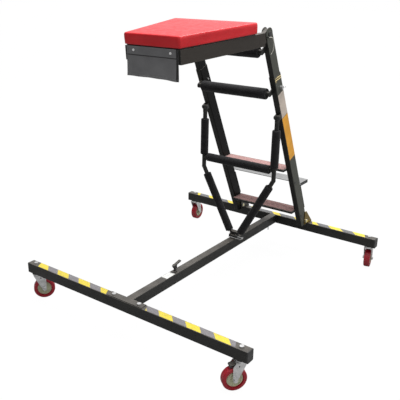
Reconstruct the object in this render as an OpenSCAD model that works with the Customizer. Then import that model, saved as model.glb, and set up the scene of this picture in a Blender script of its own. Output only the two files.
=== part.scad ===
// Topside creeper: a padded platform on a leaning, height-adjustable ladder over a wheeled base.
// +X is the right side, -Y the front, +Z up. The origin is the bottom centre of the whole object.

/* [Base] */
// Overall width of both cross beams, caps included
base_w = 1242; // [1000:2:1500]
// Overall depth over the two cross beams
base_d = 1324; // [1150:2:1500]
// Width of every beam tube
beam_w = 41; // [36:1:48]
// Height of every beam tube
beam_h = 50; // [44:1:60]
// Wall of the beam tubes
beam_wall = 2.5; // [2:0.25:3.5]
// Height of the beam's underside over the floor
beam_z = 130.4; // [126:0.2:140]
// Distance of the beam joint in front of the base's middle
joint_front = 388; // [340:1:420]
// Length of the spigot inside the rear centre tube
spigot_len = 240; // [200:5:300]

/* [Casters] */
// Distance of each caster stem from the end of its beam
stem_in = 39; // [33:1:60]
// Radius of the wheel
wheel_r = 50; // [46:1:52]
// Width of the tread
wheel_w = 32; // [28:1:36]
// Offset of the wheel's axle behind its stem
trail = 28; // [22:1:34]
// Swivel angle of the front right caster
yaw_front_right = 231; // [0:1:359]
// Swivel angle of the front left caster
yaw_front_left = 51; // [0:1:359]
// Swivel angle of the rear right caster
yaw_rear_right = 102; // [0:1:359]
// Swivel angle of the rear left caster
yaw_rear_left = 95; // [0:1:359]

/* [Ladder] */
// Lean of the ladder from upright, towards the front
lean = 25; // [20:0.5:30]
// Half width over the two outer rails
rail_out_x = 224; // [200:1:250]
// Width of an outer rail
rail_w = 31; // [28:0.5:36]
// Depth of an outer rail
rail_d = 60.6; // [54:0.2:66]
// Wall of the rails
rail_wall = 2; // [1.5:0.25:2.5]
// Distance of the rail's centre line, at pivot height, from the base's rear edge
rail_foot_in = 88.5; // [86:0.5:97]
// Height of the foot pivot over the floor
foot_z = 205; // [202:1:212]
// Length of the outer rails above the foot pivot's height
outer_len = 943.5; // [900:0.5:980]
// Distance of the platform pivot beyond the outer rails' ends
mast_out = 208.5; // [190:0.5:240]
// Length of inner rail that is inside the outer one
overlap = 303; // [260:1:340]
// Slide clearance between inner and outer rail
rail_gap = 0.6; // [0.4:0.1:1]

/* [Steps] */
// Height of the upper tread's top
tread_high_z = 554; // [500:1:600]
// Height of the lower tread's top
tread_low_z = 284; // [275:1:320]
// Depth of both treads
tread_d = 97; // [80:1:110]
// Thickness of a tread board
tread_t = 12; // [8:1:18]
// Height of the rear step's top
rear_step_z = 452; // [420:1:500]
// Depth of the rear step
rear_step_d = 88; // [70:1:110]

/* [Platform] */
// Slope of the platform, front edge lower
pad_tilt = 4.5; // [2:0.5:8]
// Half width of the cushion at the rear
pad_rear_x = 222; // [190:0.1:240]
// Half width of the cushion at the front
pad_front_x = 142.5; // [120:0.1:170]
// Length of the cushion
pad_len = 441; // [400:1:480]
// Thickness of the cushion at its edge
pad_t = 46.4; // [35:0.2:60]
// Rise of the cushion's crown over its edge
pad_crown = 7; // [3:0.5:12]
// Height of the cushion's upper rear edge over the platform pivot
pad_above = 52.93; // [46:0.01:60]
// Distance of the cushion's rear edge in front of the platform pivot
pad_behind = 103.14; // [95:0.01:115]
// Height of the platform arms
arm_h = 57.5; // [50:0.5:64]
// Width of a platform arm
arm_w = 30; // [26:1:36]
// Width of the hanging flap
flap_w = 264; // [240:2:280]
// Height of the hanging flap
flap_h = 120; // [90:1:140]

/* [Brace] */
// Distance of each brace leg from the middle plane
leg_x = 211.5; // [205:0.5:216]
// Height of the brace hinges
brace_z = 852; // [820:1:880]
// Height of the brace's cross bar
brace_bar_z = 588; // [570:1:620]
// Height of the bend where the legs start to meet
brace_bend_z = 535; // [515:1:550]
// Radius of the brace tubes
leg_r = 11; // [9:0.5:13]
// Radius of the foam on the brace legs
leg_foam_r = 21; // [18:0.5:21]
// Distance of the apex pin in front of the ladder's foot
apex_front = 377.5; // [370:0.5:389]
// Height of the apex pin
apex_z = 190; // [189:0.5:193]

/* [Hidden] */

$fn = 48;
cut = 1;
// clearance between faces that move past each other
gap = 0.5;
// clearance between a curved face and what it moves past
curve_gap = 0.35;
// radial clearance of a shaft in its bore
run = 0.05;
// layer of air under a piece that lies on another
seat = 0.05;
film_t = 0.4;
sides = [1, -1];

stem_x = base_w / 2 - stem_in;
rail_foot_y = base_d / 2 - rail_foot_in;
apex_y = rail_foot_y - apex_front;
head_u = outer_len + mast_out;
beam_bore_w = beam_w - 2 * beam_wall;
beam_bore_h = beam_h - 2 * beam_wall;

cap_t = 4;
corner_r = 4;
beam_top = beam_z + beam_h;
beam_mid = base_d / 2 - beam_w / 2;
beam_in = base_d / 2 - beam_w;
stem_r = 5.5;
stem_len = 18;
nut_r = 10;
nut_h = 6;
joint_gap = 0.3;

plate_t = 4;
foot_off = 16.5;
foot_y = rail_foot_y + foot_off;
foot_bolt_r = 6;
bolt_head_h = 5;
bolt_head_r = 10;
tri_low = 18;
tri_up = 57;
tri_front = 18;
tri_flat = 7;
foot_clear = 0.6;
foot_cut_z = beam_top + foot_clear;

rail_mid_x = rail_out_x - rail_w / 2;
rail_in_x = rail_out_x - rail_w;
inner_w = rail_w - 2 * rail_wall - 2 * rail_gap;
inner_d = rail_d - 2 * rail_wall - 2 * rail_gap;
head_bolt_r = 6;
head_r = inner_d / 2;
cheek_open = 34;
pin_in = 70.5;
pin_u = outer_len - pin_in;
pin_v = 7;
pin_r = 4.5;
pin_gap = 1;
slide_down = 50;
slide_up = 150;
knob_r = 9;
knob_h = 12;

bar_r = 12;
bar_x = 205;
bar_foam_r = 26;
bar_foam_x = 188;
mid_foam_x = 183;
mid_foam_off = 5;
bar_off = 30;
mid_share = 0.3304;
top_in = 60;
top_u = head_u - top_in;
ear_t = 6;
ear_half = 12;
foam_gap = 0.2;

panel_edge = 3;
// spans of the panels and places of the bolts, as shares of the outer rails' length
pale_share = [0.762, 0.899];
amber_share = [0.4875, 0.7588];
band_share = [0.972, 0.992];
bolt_share = [0.0636, 0.318];

brace_u_off = 17.6;
eye_w = 16;
elbow_rise = 0.6;
eye_r = 12;
eye_len = 26;
ear_gap = 0.7;
ear_wall = 4;
hinge_bolt_r = 5;
hinge_y = rail_foot_y - (brace_z - foot_z) * tan(lean) - (rail_d / 2 + brace_u_off) / cos(lean);
eye_u = (rail_foot_y - hinge_y) * sin(lean) + (brace_z - foot_z) * cos(lean);
mid_u = outer_len - mid_share * (outer_len - eye_u);
apex_leg_off = 14;
apex_leg_y = apex_y + apex_leg_off;
apex_x = 22;
boss_x = 14;
boss_d = 22;
boss_h = 15;
pin_apex_r = 4;
pin_apex_left = 27;
pin_apex_right = 52;
bail_off = 17.5;
bail_left = 20;
bail_drop = 3;
bail_r = 1.8;
yoke_t = 5;
yoke_gap = 0.7;
yoke_floor = 1.6;
yoke_d = 30;
yoke_rear = 8;
yoke_turn = 216;
crotch_over = 20;
crotch_z = beam_top + crotch_over;
crotch_h = 12;
crotch_x = 25;
brace_foam_top = 61;
brace_foam_low = 252;
low_foam_z = 499;
low_foam_end_z = 210;
bar_leg_foam_r = 22;
bar_leg_foam_x = 189;

board_t = 5;
board_in = 8;
front_over = 4;
arm_wall = 2;
arm_front_x = 142;
arm_rear_gap = 41;
tongue_w = 19.5;
tongue_r = 22;
tongue_in = 6;
cross_h = 28;
flap_t = 2.4;
flap_top = 3;
flap_bow = 7.5;
flap_mid_bow = 0.35;
flap_wave = 1.6;
flap_turn = 540;
snap_x = 95;
snap_share = 0.15;
snap_r = 5;
snap_h = 2.5;

latch_y = -307;
latch_wedge = [18, 26, 5];
latch_post = [10, 8, 28];
latch_pin_r = 3;
lever_w = 9;
lever_rise = 12;
tape_clear = 12;
tape_stem_gap = 15;
tape_foot_in = 12.5;
tee_tape_gap = 5;
stud_in = 89;
stud_len = 32;
wire_r = 2;
wire_turn = -26;

fork_leg_t = 3;
fork_half = 21.5;
fork_shoulder = 14;
rib_w = 7;
rib_t = 1;
rib_low = 13;
rib_len = 40;
crown_z = 122;
crown_h = 5;
race_r = 23;
axle_r = 5;
hub_r = 33;
hub_half = 14;
rim_step = 3;
tread_round = 5;
pedal_t = 4;
pedal_len = 30;
pedal_w = 26;
pedal_pivot = [14, 110];
pedal_pin_r = 3;

// Casters: sign of x, sign of y, swivel angle
caster_list = [[1, -1, yaw_front_right], [-1, -1, yaw_front_left],
    [1, 1, yaw_rear_right], [-1, 1, yaw_rear_left]];

// How far a rounded wheel reaches along y from its stem, to the front or to the rear
function wheel_reach(yaw, way) = way * trail * sin(yaw) + (wheel_r - tread_round) * abs(sin(yaw))
    + (wheel_w / 2 - tread_round) * abs(cos(yaw)) + tread_round;
rear_reach = max(wheel_reach(yaw_rear_right, 1), wheel_reach(yaw_rear_left, 1));
front_reach = max(wheel_reach(yaw_front_right, -1), wheel_reach(yaw_front_left, -1));
shift_y = (front_reach - rear_reach) / 2;

module place() {
    translate([0, shift_y, 0]) children();
}

// Outline of a rounded rectangle, centred
module rounded(w, h, r) {
    square([w - 2 * r, h], center = true);
    square([w, h - 2 * r], center = true);
    for (x = sides, y = sides) translate([x * (w / 2 - r), y * (h / 2 - r)]) circle(r = r);
}

// Bar along x from x0 to x1, centred on y and z
module bar_along_x(x0, x1, w, h, r) {
    translate([x0, 0, 0]) rotate([90, 0, 90]) linear_extrude(height = x1 - x0) rounded(w, h, r);
}

// Bar along y from y0 to y1, centred on x and z
module bar_along_y(y0, y1, w, h, r) {
    translate([0, y1, 0]) rotate([90, 0, 0]) linear_extrude(height = y1 - y0) rounded(w, h, r);
}

// Round rod along x from x0 to x1
module rod_x(x0, x1, r) {
    translate([x0, 0, 0]) rotate([0, 90, 0]) cylinder(r = r, h = x1 - x0);
}

// Box from its two opposite corners
module box(a, b) {
    translate(a) cube(b - a);
}

// Hollow beam tube along x
module cross_tube_x(half) {
    difference() {
        bar_along_x(-half, half, beam_w, beam_h, corner_r);
        bar_along_x(-half - cut, half + cut, beam_bore_w, beam_bore_h, corner_r - beam_wall);
    }
}

// A cross beam with the two stem holes in its underside
module cross_beam() {
    difference() {
        cross_tube_x(base_w / 2 - cap_t);
        for (s = sides) translate([s * stem_x, 0, -beam_h / 2 - cut])
            cylinder(r = stem_r + run, h = beam_wall + 2 * cut);
    }
}

module beam_caps() {
    for (s = sides) mirror([s < 0 ? 1 : 0, 0, 0]) translate([base_w / 2 - cap_t, 0, 0]) {
        bar_along_x(0, cap_t, beam_w, beam_h, corner_r);
        bar_along_x(-3 * cap_t, 0, beam_bore_w - gap, beam_bore_h - gap, corner_r - beam_wall);
    }
}

module rear_beam() {
    color([0.1, 0.1, 0.1]) place() translate([0, beam_mid, beam_z + beam_h / 2]) cross_beam();
}

module rear_caps() {
    color([0.06, 0.06, 0.06]) place() translate([0, beam_mid, beam_z + beam_h / 2]) beam_caps();
}

module front_beam() {
    color([0.1, 0.1, 0.1]) place() translate([0, -beam_mid, beam_z + beam_h / 2]) cross_beam();
}

module front_caps() {
    color([0.06, 0.06, 0.06]) place() translate([0, -beam_mid, beam_z + beam_h / 2]) beam_caps();
}

// Rear part of the centre beam, a hollow tube that is open at its front end
module centre_beam() {
    color([0.12, 0.12, 0.11]) place() translate([0, 0, beam_z + beam_h / 2]) difference() {
        bar_along_y(-joint_front + joint_gap, beam_in, beam_w, beam_h, corner_r);
        bar_along_y(-joint_front - cut, beam_in + cut, beam_w - 2 * beam_wall, beam_h - 2 * beam_wall,
            corner_r - beam_wall);
    }
}

// Front part of the centre beam with the spigot that slides in the rear part
module front_stub() {
    color([0.12, 0.12, 0.11]) place() translate([0, 0, beam_z + beam_h / 2]) {
        bar_along_y(-beam_in, -joint_front, beam_w, beam_h, corner_r);
        difference() {
            bar_along_y(-joint_front - cut, -joint_front + spigot_len, beam_bore_w - 2 * gap,
                beam_bore_h - 2 * gap, corner_r - beam_wall);
            bar_along_y(-joint_front + beam_wall, -joint_front + spigot_len + cut,
                beam_bore_w - 2 * beam_wall - 2 * gap, beam_bore_h - 2 * beam_wall - 2 * gap,
                corner_r - beam_wall);
        }
    }
}

// Side plate of a foot, seen along x, with its bolt hole
module foot_plate_outline() {
    difference() {
        polygon([[foot_y - tri_front, foot_z - tri_low], [foot_y - tri_front, foot_z + tri_up - corner_r],
            [foot_y - tri_front + corner_r, foot_z + tri_up], [foot_y, foot_z + tri_up],
            [base_d / 2, beam_top + tri_flat], [base_d / 2, beam_top], [beam_in, beam_top],
            [beam_in, foot_z - tri_low]]);
        translate([foot_y, foot_z]) circle(r = foot_bolt_r + run);
    }
}

module foot_brackets() {
    color([0.55, 0.45, 0.2]) place() for (s = sides, x = [rail_in_x - gap - plate_t, rail_out_x + gap])
        mirror([s < 0 ? 1 : 0, 0, 0]) translate([x, 0, 0]) rotate([90, 0, 90])
            linear_extrude(height = plate_t) foot_plate_outline();
}

// Bolt along x from x0 to x1, with a head outside both ends
module bolt_x(x0, x1, r, head_r, head_h) {
    rod_x(x0, x1, r);
    rod_x(x0 - head_h, x0, head_r);
    rod_x(x1, x1 + head_h, head_r);
}

module foot_bolts() {
    color([0.75, 0.75, 0.75]) place() both() translate([0, foot_y, foot_z])
        bolt_x(rail_in_x - gap - plate_t, rail_out_x + gap + plate_t, foot_bolt_r, bolt_head_r, bolt_head_h);
}

// Boss on the centre beam that carries the apex pin
module apex_bracket() {
    color([0.1, 0.1, 0.1]) place() difference() {
        box([-boss_x, apex_y - boss_d / 2, beam_top], [boss_x, apex_y + boss_d / 2, beam_top + boss_h]);
        translate([0, apex_y, apex_z]) rod_x(-boss_x - cut, boss_x + cut, pin_apex_r + run);
    }
}

// Wedge and post of the latch, on the centre beam
module latch_base() {
    color([0.08, 0.08, 0.08]) place() translate([0, latch_y, beam_top]) difference() {
        union() {
            translate([0, -latch_wedge.y / 4, latch_wedge.z / 2]) cube(latch_wedge, center = true);
            translate([0, 0, latch_post.z / 2]) cube(latch_post, center = true);
        }
        translate([0, 0, latch_post.z - latch_post.y / 2])
            rod_x(-latch_post.x, latch_post.x, latch_pin_r + run);
    }
}

// Lever with its pivot pin: two cheeks, a bent handle to the rear and a short grip
module latch_lever() {
    pivot_z = beam_top + latch_post.z - latch_post.y / 2;
    color([0.14, 0.14, 0.14]) place() translate([0, latch_y, pivot_z]) {
        rod_x(-latch_post.x / 2 - gap - lever_w / 3, latch_post.x / 2 + gap + lever_w / 3, latch_pin_r);
        both() translate([latch_post.x / 2 + gap, 0, 0]) rotate([90, 0, 90])
            linear_extrude(height = lever_w / 3) polygon([[-2 * latch_pin_r, -2 * latch_pin_r],
                [2 * latch_pin_r, -2 * latch_pin_r], [2 * latch_pin_r, 3 * latch_pin_r],
                [-2 * latch_pin_r, 5 * latch_pin_r]]);
        translate([0, 0, latch_post.y + latch_pin_r]) rotate([lever_rise, 0, 0])
            bar_along_y(-lever_w * 1.6, lever_w * 4.4, latch_post.x + 2 * gap + lever_w / 3,
                lever_w * 0.8, lever_w / 4);
    }
}

// Blank pale panel behind the beam joint
module centre_panel() {
    panel_end = latch_y - latch_wedge.y * 3 / 4 - gap;
    color([0.9, 0.9, 0.88]) place() box([-beam_w / 2 + corner_r, -joint_front + joint_gap + cut, beam_top],
        [beam_w / 2 - corner_r, panel_end, beam_top + film_t]);
}

// Strip of hazard tape on a beam's top from x0 to x1
module tape(x0, x1) {
    half = beam_w / 2 - corner_r;
    linear_extrude(height = film_t) polygon([[x0, half], [x0 + half, -half], [x1 + half, -half], [x1, half]]);
}

module rear_tape() {
    end_x = stem_x - tape_stem_gap;
    inner_x = rail_out_x + tape_clear;
    color([0.95, 0.85, 0.2]) place() translate([0, beam_mid, beam_top]) {
        tape(-end_x, -inner_x - beam_w / 2);
        tape(-rail_in_x + tape_foot_in, rail_in_x - tape_foot_in - beam_w);
        tape(inner_x, end_x - beam_w / 2);
    }
}

module front_tape() {
    end_x = stem_x - tape_stem_gap;
    inner_x = tee_half + tee_tape_gap;
    color([0.95, 0.85, 0.2]) place() translate([0, -beam_mid, beam_top]) {
        tape(-end_x, -inner_x - beam_w / 2);
        tape(inner_x, end_x - beam_w / 2);
    }
}

module hex_nut(r, h) {
    cylinder(r = r, h = h, $fn = 6);
}

module rear_fasteners() {
    stud_y = base_d / 2 - stud_in;
    color([0.6, 0.6, 0.6]) place() {
        for (s = sides) translate([s * stem_x, beam_mid, beam_top]) hex_nut(nut_r, nut_h);
        translate([0, stud_y, beam_z - stud_len]) cylinder(r = stem_r / 2, h = stud_len);
        translate([0, stud_y, beam_z - nut_h / 2]) hex_nut(stem_r, nut_h / 2);
    }
}

tee_half = 98;
tee_d = 34;
tee_t = 3;
tee_bolt_x = 72;

module tee_plate() {
    color([0.13, 0.13, 0.13]) place() box([-tee_half, -beam_mid - tee_d / 2, beam_top],
        [tee_half, -beam_mid + tee_d / 2, beam_top + tee_t]);
}

module front_fasteners() {
    color([0.7, 0.7, 0.7]) place() {
        for (s = sides) translate([s * stem_x, -beam_mid, beam_top]) hex_nut(nut_r, nut_h);
        for (s = sides) translate([s * tee_bolt_x, -beam_mid, beam_top + tee_t]) hex_nut(nut_r, nut_h);
    }
}

// Puts a caster's pieces under its stem: x runs along the trail, y along the axle
module caster(i) {
    c = caster_list[i];
    place() translate([c.x * stem_x, c.y * beam_mid, 0]) rotate([0, 0, c.z]) children();
}

// Fork leg seen along the axle: upright in front of the axle, slanted behind it
module fork_leg() {
    rotate([90, 0, 0]) linear_extrude(height = fork_leg_t) difference() {
        union() {
            polygon([[-race_r * 0.75, crown_z], [race_r * 1.15, crown_z],
                [trail + 2 * axle_r, crown_z - fork_shoulder], [trail + 2 * axle_r, wheel_r],
                [trail - 2 * axle_r, wheel_r]]);
            translate([trail, wheel_r]) circle(r = 2 * axle_r);
        }
        translate([pedal_pivot.x, pedal_pivot.y]) circle(r = pedal_pin_r + run);
    }
}

// Race, crown, stem, two legs with pressed ribs, and the axle with its nuts
module fork(i) {
    color([0.65, 0.65, 0.67]) caster(i) {
        translate([0, 0, crown_z + crown_h]) cylinder(r = race_r, h = beam_z - curve_gap - crown_z - crown_h);
        translate([0, 0, crown_z - cut]) cylinder(r = race_r * 0.9, h = crown_h + 2 * cut);
        translate([0, 0, beam_z - cut]) cylinder(r = stem_r, h = stem_len);
        translate([-race_r * 0.75, -fork_half, crown_z - crown_h / 2])
            cube([race_r * 1.9, 2 * fork_half, crown_h]);
        for (s = sides) translate([0, s > 0 ? fork_half : -fork_half + fork_leg_t, 0]) fork_leg();
        for (s = sides) translate([trail - rib_w / 2, s * fork_half - rib_t, wheel_r + rib_low])
            cube([rib_w, 2 * rib_t, rib_len]);
        translate([trail, 0, wheel_r]) rotate([90, 0, 0])
            cylinder(r = axle_r, h = 2 * fork_half + 2 * nut_h, center = true);
        for (s = sides) translate([trail, s * (fork_half + nut_h / 2), wheel_r]) rotate([90, 0, 0])
            cylinder(r = 1.7 * axle_r, h = nut_h, center = true, $fn = 6);
    }
}

module hub(i) {
    color([0.68, 0.68, 0.56]) caster(i) translate([trail, 0, wheel_r]) rotate([90, 0, 0]) difference() {
        union() {
            cylinder(r = hub_r - run, h = 2 * hub_half - 2 * rim_step, center = true);
            cylinder(r = hub_r - rim_step, h = 2 * hub_half, center = true);
            cylinder(r = 2.4 * axle_r, h = 2 * (fork_half - fork_leg_t - gap), center = true);
        }
        cylinder(r = axle_r + run, h = 2 * fork_half, center = true);
        for (s = sides) rotate_extrude() translate([2.9 * axle_r, s * hub_half - rim_step])
            square([hub_r - rim_step - 3.6 * axle_r, 2 * rim_step]);
    }
}

module tread(i) {
    band_t = wheel_r - hub_r - rim_step;
    color([0.5, 0.06, 0.1]) caster(i) translate([trail, 0, wheel_r]) rotate([90, 0, 0])
        rotate_extrude($fn = 72) {
            translate([hub_r, -hub_half + rim_step]) square([tread_round, 2 * hub_half - 2 * rim_step]);
            translate([hub_r + rim_step, -wheel_w / 2]) square([band_t - tread_round, wheel_w]);
            translate([hub_r + rim_step, -wheel_w / 2 + tread_round])
                square([band_t, wheel_w - 2 * tread_round]);
            for (s = sides) translate([wheel_r - tread_round, s * (wheel_w / 2 - tread_round)])
                circle(r = tread_round);
        }
}

// Brake pedal on its pin between the fork legs
module pedal(i) {
    color([0.16, 0.13, 0.13]) caster(i) translate([pedal_pivot.x, 0, pedal_pivot.y]) {
        rotate([90, 0, 0]) cylinder(r = pedal_pin_r, h = 2 * fork_half, center = true);
        rotate([90, 0, 0]) cylinder(r = pedal_t, h = pedal_w, center = true);
        translate([0, -pedal_w / 2, 0]) cube([pedal_len, pedal_w, pedal_t]);
        translate([pedal_len, 0, -pedal_t / 2]) rotate([90, 0, 0])
            cylinder(r = 1.5 * pedal_t, h = pedal_w, center = true);
    }
}

// Ladder frame: z runs up the rails, y to the rear across them
module ladder() {
    place() translate([0, rail_foot_y, foot_z]) rotate([lean, 0, 0]) children();
}

// Both copies of something that is drawn for the right side
module both() {
    children();
    mirror([1, 0, 0]) children();
}

// Square tube up the ladder from u0 to u1
module rail_bar(u0, u1, w, d, r) {
    translate([rail_mid_x, 0, u0]) linear_extrude(height = u1 - u0) rounded(w, d, r);
}

rail_foot_len = 60;

module outer_rails() {
    color([0.16, 0.17, 0.15]) both() difference() {
        ladder() difference() {
            rail_bar(-rail_foot_len, outer_len, rail_w, rail_d, corner_r);
            rail_bar(-rail_foot_len - cut, outer_len + cut, rail_w - 2 * rail_wall, rail_d - 2 * rail_wall,
                corner_r - rail_wall);
            translate([0, pin_v, pin_u]) rod_x(rail_in_x - cut, rail_out_x + cut, pin_r + run);
        }
        place() box([0, rail_foot_y - rail_d, 0], [rail_out_x + cut, base_d / 2, foot_cut_z]);
        place() translate([0, foot_y, foot_z]) rod_x(rail_in_x - cut, rail_out_x + cut, foot_bolt_r + run);
    }
}

// Place of the rails' front face at a height
function front_y(z) = rail_foot_y - rail_d / 2 / cos(lean) - (z - foot_z) * tan(lean);
tread_front_over = 27;
mat_in = 6;
mat_t = 1.2;

// Board between the rails, with a rim in front
module tread_board(top, front) {
    box([-rail_in_x + seat, front, top - tread_t], [rail_in_x - seat, front + tread_d, top - mat_t]);
}

module upper_tread() {
    color([0.09, 0.09, 0.09]) place() tread_board(tread_high_z, front_y(tread_high_z) - tread_front_over);
}

module lower_tread() {
    color([0.09, 0.09, 0.09]) place() tread_board(tread_low_z, front_y(tread_low_z) - tread_front_over);
}

module mat(top, front) {
    box([-rail_in_x + mat_in, front + mat_in, top - mat_t],
        [rail_in_x - mat_in, front + tread_d - mat_in, top]);
}

module tread_mats() {
    color([0.66, 0.5, 0.47]) place() {
        mat(tread_high_z, front_y(tread_high_z) - tread_front_over);
        mat(tread_low_z, front_y(tread_low_z) - tread_front_over);
    }
}

step_t = 3;
step_rim = 18;
step_strip_h = 190;

// Place of the rails' rear face at a height
function rear_y(z) = rail_foot_y + rail_d / 2 / cos(lean) - (z - foot_z) * tan(lean);

// Plate with a rim behind the rails, on two strips that run down the rails' rear faces
module rear_step() {
    plate_y = rear_y(rear_step_z - step_t) + seat;
    rim_y = plate_y + rear_step_d - step_t;
    color([0.5, 0.5, 0.52]) {
        place() {
            box([-rail_out_x, plate_y, rear_step_z - step_t], [rail_out_x, rim_y + step_t, rear_step_z]);
            box([-rail_out_x, rim_y, rear_step_z - step_rim],
                [rail_out_x, rim_y + step_t, rear_step_z - step_t + seat]);
            both() box([rail_out_x - step_t, rear_y(rear_step_z - step_rim) + seat, rear_step_z - step_rim],
                [rail_out_x, rim_y + seat, rear_step_z - step_t + seat]);
        }
        both() ladder() translate([rail_in_x, rail_d / 2, (rear_step_z - foot_z) / cos(lean) - step_strip_h])
            cube([rail_w, step_t, step_strip_h - 2 * step_rim]);
    }
}

// Bar in front of the rails on two ears, with its foam sleeve left out
module grab_bar(u, face) {
    translate([0, -face - bar_off, u]) rod_x(-bar_x, bar_x, bar_r);
    both() translate([bar_x - ear_t, -face - bar_off, u - ear_half]) cube([ear_t, bar_off, 2 * ear_half]);
}

module grab_foam(u, face, x0, x1) {
    translate([0, -face - bar_off, u]) difference() {
        rod_x(x0, x1, bar_foam_r);
        rod_x(x0 - cut, x1 + cut, bar_r + foam_gap);
    }
}

module mid_bar() {
    color([0.12, 0.12, 0.12]) ladder() grab_bar(mid_u, rail_d / 2);
}

module mid_foam() {
    color([0.07, 0.07, 0.08]) ladder()
        grab_foam(mid_u, rail_d / 2, mid_foam_off - mid_foam_x, mid_foam_off + mid_foam_x);
}

// Thin panel on the outer face of both outer rails
module rail_film(share) {
    both() ladder() translate([rail_out_x, -rail_d / 2 + panel_edge, share[0] * outer_len])
        cube([film_t, rail_d - 2 * panel_edge, (share[1] - share[0]) * outer_len]);
}

module pale_panels() {
    color([0.82, 0.77, 0.7]) rail_film(pale_share);
}

module amber_panels() {
    color([0.87, 0.62, 0.18]) rail_film(amber_share);
}

module rail_bands() {
    color([0.9, 0.75, 0.2]) rail_film(band_share);
}

// Dark round-headed bolts on the rails' outer faces, through the bar ears' ends
module rail_bolts() {
    color([0.1, 0.1, 0.1]) both() ladder() for (f = bolt_share) translate([0, -rail_d / 4, f * outer_len])
        rod_x(rail_out_x + film_t, rail_out_x + film_t + rail_wall, knob_r / 1.5);
}

// Pair of ears for each brace hinge, and the hinge bolts
module brace_brackets() {
    ear_v = -rail_d / 2 - brace_u_off;
    color([0.3, 0.3, 0.31]) both() ladder() {
        for (x = [leg_x - eye_w / 2 - ear_gap - ear_wall, leg_x + eye_w / 2 + ear_gap]) difference() {
            union() {
                translate([x, ear_v, eye_u - eye_r]) cube([ear_wall, brace_u_off, 2 * eye_r]);
                translate([0, ear_v, eye_u]) rod_x(x, x + ear_wall, eye_r);
            }
        }
        translate([0, ear_v, eye_u]) bolt_x(leg_x - eye_w / 2 - ear_gap - ear_wall,
            leg_x + eye_w / 2 + ear_gap + ear_wall, hinge_bolt_r, eye_r * 0.7, ear_wall);
    }
}

// Inner rails with the slot for the height pins and the open head for the platform tongue
module inner_rails() {
    color([0.14, 0.15, 0.14]) both() ladder() difference() {
        union() {
            rail_bar(outer_len - overlap, head_u, inner_w, inner_d, corner_r - rail_wall);
            translate([0, 0, head_u]) rod_x(rail_mid_x - inner_w / 2, rail_mid_x + inner_w / 2, head_r);
        }
        rail_bar(outer_len - overlap - cut, head_u + 2 * head_r, inner_w - 2 * rail_wall,
            inner_d - 2 * rail_wall, rail_wall / 2);
        box([rail_mid_x - inner_w / 2 + rail_wall, -inner_d, head_u - cheek_open],
            [rail_mid_x + inner_w / 2 - rail_wall, inner_d, head_u + 2 * head_r]);
        box([rail_in_x, pin_v - pin_r - pin_gap, pin_u - slide_up - pin_r - pin_gap],
            [rail_out_x, pin_v + pin_r + pin_gap, pin_u + slide_down + pin_r + pin_gap]);
        translate([0, 0, head_u]) rod_x(rail_in_x, rail_out_x, head_bolt_r + run);
    }
}

module top_bar() {
    color([0.12, 0.12, 0.12]) ladder() grab_bar(top_u, inner_d / 2);
}

module top_foam() {
    color([0.07, 0.07, 0.08]) ladder() grab_foam(top_u, inner_d / 2, -bar_foam_x, bar_foam_x);
}

clip_down = 4;
clip_v = -20;
clip_u = head_u - clip_down;
clip_r = 3.5;

// Bolts of the platform hinge and the small clips that hold the lanyards
module head_bolts() {
    color([0.25, 0.25, 0.26]) both() ladder() {
        translate([0, 0, head_u]) bolt_x(rail_mid_x - inner_w / 2, rail_mid_x + inner_w / 2, head_bolt_r,
            bolt_head_r, bolt_head_h);
        translate([0, clip_v, clip_u])
            rod_x(rail_mid_x + inner_w / 2, rail_mid_x + inner_w / 2 + 2 * clip_r, clip_r);
    }
}

// Lanyard route up the ladder frame, chosen by hand: x beyond the clip, v and u from the clip
lanyard_r = 1.2;
lanyard_points = [[0, 3.5, -2], [1, 12, -9], [2, 22, -13], [2, 29, -21], [2, 31, -33], [2, 29, -48],
    [2, 24, -61], [1, 15, -73], [-1, 6, -81], [-4, -3, -86]];

function unit(v) = v / norm(v);
function tangent(p, i) = unit(p[min(i + 1, len(p) - 1)] - p[max(i - 1, 0)]);
function ring(c, t, r, n) = let (a = unit(cross(t, [1, 0.01, 0])), b = cross(t, a))
    [for (k = [0 : n - 1]) c + r * (a * cos(360 * k / n) + b * sin(360 * k / n))];

// Round tube swept along points
module swept(p, r, n) {
    last = len(p) - 1;
    pts = [for (i = [0 : last]) each ring(p[i], tangent(p, i), r, n)];
    walls = [for (i = [0 : last - 1], k = [0 : n - 1]) each
        [[i * n + k, i * n + (k + 1) % n, (i + 1) * n + k],
            [i * n + (k + 1) % n, (i + 1) * n + (k + 1) % n, (i + 1) * n + k]]];
    polyhedron(points = pts, faces = concat([[for (k = [n - 1 : -1 : 0]) k]], walls,
        [[for (k = [0 : n - 1]) last * n + k]]), convexity = 6);
}

module lanyards() {
    color([0.75, 0.73, 0.68]) both() ladder()
        translate([rail_mid_x + inner_w / 2 + 1.5 * clip_r, clip_v, clip_u])
            swept(lanyard_points, lanyard_r, 8);
}

// Pull pin through a rail, with its knob and a wire clip to the rail's rear edge
module height_pin() {
    ladder() translate([0, pin_v, pin_u]) {
        rod_x(rail_in_x - pin_r, rail_out_x + gap, pin_r);
        rod_x(rail_out_x + gap, rail_out_x + gap + knob_h, knob_r);
        rotate([wire_turn, 0, 0]) translate([rail_out_x + gap + knob_h / 2, 0, 0]) rotate([-90, 0, 0])
            cylinder(r = wire_r, h = rail_d / 1.6);
    }
}

module height_pin_right() {
    color([0.6, 0.6, 0.62]) height_pin();
}

module height_pin_left() {
    color([0.6, 0.6, 0.62]) mirror([1, 0, 0]) height_pin();
}

head_y = rail_foot_y - head_u * sin(lean);
head_z = foot_z + head_u * cos(lean);

// Platform frame: origin at the cushion's upper rear edge, y to the rear, z square to the cushion
module platform() {
    place() translate([0, head_y - pad_behind, head_z + pad_above]) rotate([pad_tilt, 0, 0]) children();
}

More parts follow.
